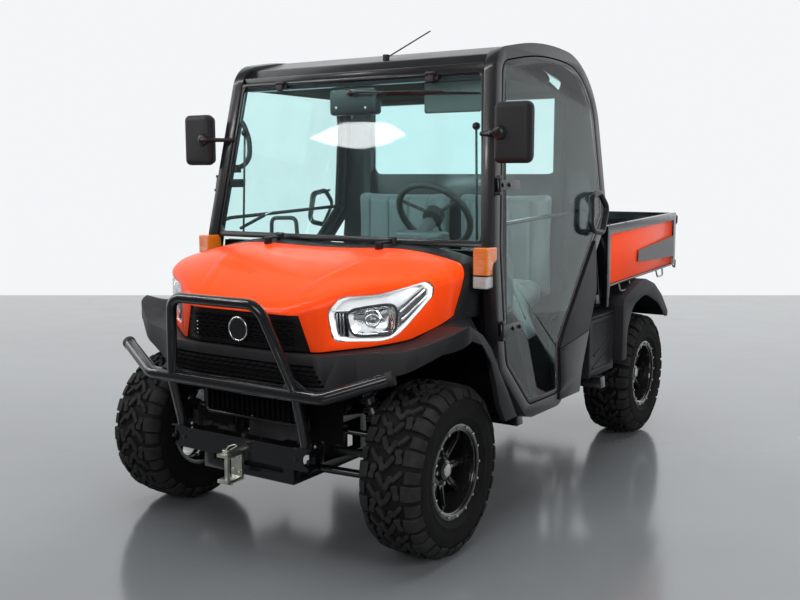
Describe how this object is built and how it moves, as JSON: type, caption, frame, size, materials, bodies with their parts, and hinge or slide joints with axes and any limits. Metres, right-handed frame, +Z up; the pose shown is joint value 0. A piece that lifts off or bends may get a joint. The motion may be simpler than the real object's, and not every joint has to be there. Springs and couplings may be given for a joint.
{
  "type": "side by side utility vehicle",
  "caption": "Two-seat side by side utility vehicle with a glazed cab, front guard, lugged tyres, opening doors and hood, and a tipping cargo bed with a tailgate.",
  "frame": {"origin": "centre of the vehicle's outline on the ground under its wheels", "axes": "+X to the vehicle's left, -Y to its front, +Z up"},
  "size_m": [1.724, 2.957, 2.0188],
  "materials": {
    "frame_paint": "satin",
    "black_plastic": "grained",
    "hood_plastic": "gloss",
    "tyre_rubber": "matte",
    "rim_paint": "gloss",
    "bare_metal": "satin",
    "engine_metal": "rough",
    "seat_vinyl": "grained",
    "soft_rubber": "matte",
    "clear_glass": "clear",
    "lamp_lens": "clear",
    "amber_lens": "clear",
    "rod_chrome": "polished"
  },
  "bodies": {
    "vehicle_body": {"chassis_frame": "frame_paint", "engine_block": "engine_metal", "drive_shafts": "bare_metal", "suspension_arms": "frame_paint", "shock_absorbers": "frame_paint", "rear_hubs": "engine_metal", "front_guard": "frame_paint", "hitches": "bare_metal", "fascia": "black_plastic", "front_fenders": "black_plastic", "cowl": "black_plastic", "floor_tub": "black_plastic", "dashboard": "black_plastic", "steering_column": "frame_paint", "seat_cushion_left": "seat_vinyl", "seat_cushion_right": "seat_vinyl", "seat_back_left": "seat_vinyl", "seat_back_right": "seat_vinyl", "cab_frame": "frame_paint", "quarter_panels": "black_plastic", "roof": "black_plastic", "windscreen_frame": "frame_paint", "windscreen_glass": "clear_glass", "rear_wall": "frame_paint", "rear_window": "clear_glass", "mirrors": "black_plastic", "antenna": "black_plastic", "signal_lamps": "amber_lens", "rear_fenders": "black_plastic", "side_boxes": "black_plastic"},
    "hood_body": {"hood": "hood_plastic", "headlamps": "lamp_lens", "grille": "black_plastic", "hood_hinges": "frame_paint"},
    "bed_body": {"cargo_bed": "frame_paint", "bed_side_panels": "hood_plastic"},
    "tailgate_body": {"tailgate": "frame_paint"},
    "lift_barrel_body": {"lift_barrel": "frame_paint"},
    "lift_rod_body": {"lift_rod": "rod_chrome"},
    "steering_wheel_body": {"steering_wheel": "soft_rubber"},
    "knuckle_body_left": {"knuckle_left": "engine_metal"},
    "door_body_left": {"door_frame_left": "frame_paint", "door_glass_left": "clear_glass", "door_handle_left": "frame_paint"},
    "wheel_front_left": {"tyre_front_left": "tyre_rubber", "rim_front_left": "rim_paint"},
    "wheel_rear_left": {"tyre_rear_left": "tyre_rubber", "rim_rear_left": "rim_paint"},
    "knuckle_body_right": {"knuckle_right": "engine_metal"},
    "door_body_right": {"door_frame_right": "frame_paint", "door_glass_right": "clear_glass", "door_handle_right": "frame_paint"},
    "wheel_front_right": {"tyre_front_right": "tyre_rubber", "rim_front_right": "rim_paint"},
    "wheel_rear_right": {"tyre_rear_right": "tyre_rubber", "rim_rear_right": "rim_paint"}
  },
  "joints": [
    {"name": "hood_hinge", "type": "hinge", "parent": "vehicle_body", "child": "hood_body", "pos_m": [0, -0.7465, 1.126], "axis": [-1, 0, 0], "range_deg": [0, 60]},
    {"name": "bed_tip", "type": "hinge", "parent": "vehicle_body", "child": "bed_body", "pos_m": [0, 1.3225, 0.85], "axis": [-1, 0, 0], "range_deg": [0, 45]},
    {"name": "tailgate_hinge", "type": "hinge", "parent": "bed_body", "child": "tailgate_body", "pos_m": [0, 1.42831, 0.89679], "axis": [-1, 0, 0], "range_deg": [0, 90]},
    {"name": "lift_pivot", "type": "hinge", "parent": "vehicle_body", "child": "lift_barrel_body", "pos_m": [0, 0.9375, 0.36], "axis": [-1, 0, 0], "range_deg": [0, 21.02]},
    {"name": "lift_stroke", "type": "slide", "parent": "lift_barrel_body", "child": "lift_rod_body", "axis": [0, -0.4266, 0.9044], "range_m": [0, 0.3978]},
    {"name": "steering_turn", "type": "hinge", "parent": "vehicle_body", "child": "steering_wheel_body", "pos_m": [0.3, -0.4415, 1.211], "axis": [0, 0.788, 0.6157], "range_deg": [-481, 481]},
    {"name": "steer_left", "type": "hinge", "parent": "vehicle_body", "child": "knuckle_body_left", "pos_m": [0.532, -0.9975, 0.32], "axis": [0, 0, 1], "range_deg": [-32, 32]},
    {"name": "door_left", "type": "hinge", "parent": "vehicle_body", "child": "door_body_left", "pos_m": [0.76217, -0.72361, 0.79841], "axis": [0.0923, -0.1057, -0.9901], "range_deg": [0, 70]},
    {"name": "spin_front_left", "type": "hinge", "parent": "knuckle_body_left", "child": "wheel_front_left", "pos_m": [0.617, -0.9975, 0.32], "axis": [-1, 0, 0], "continuous": true},
    {"name": "spin_rear_left", "type": "hinge", "parent": "vehicle_body", "child": "wheel_rear_left", "pos_m": [0.617, 1.0475, 0.32], "axis": [-1, 0, 0], "continuous": true},
    {"name": "steer_right", "type": "hinge", "parent": "vehicle_body", "child": "knuckle_body_right", "pos_m": [-0.532, -0.9975, 0.32], "axis": [0, 0, 1], "range_deg": [-32, 32]},
    {"name": "door_right", "type": "hinge", "parent": "vehicle_body", "child": "door_body_right", "pos_m": [-0.76217, -0.72361, 0.79841], "axis": [0.0923, 0.1057, 0.9901], "range_deg": [0, 70]},
    {"name": "spin_front_right", "type": "hinge", "parent": "knuckle_body_right", "child": "wheel_front_right", "pos_m": [-0.617, -0.9975, 0.32], "axis": [-1, 0, 0], "continuous": true},
    {"name": "spin_rear_right", "type": "hinge", "parent": "vehicle_body", "child": "wheel_rear_right", "pos_m": [-0.617, 1.0475, 0.32], "axis": [-1, 0, 0], "continuous": true}
  ],
  "couplings": [
    {"joint": "steer_right", "follows": "steer_left", "ratio": 1},
    {"joint": "steering_turn", "follows": "steer_left", "ratio": 15},
    {"joint": "lift_pivot", "follows": "bed_tip", "ratio": 0.46489},
    {"joint": "lift_stroke", "follows": "bed_tip", "m_per_rad": 0.50586}
  ]
}
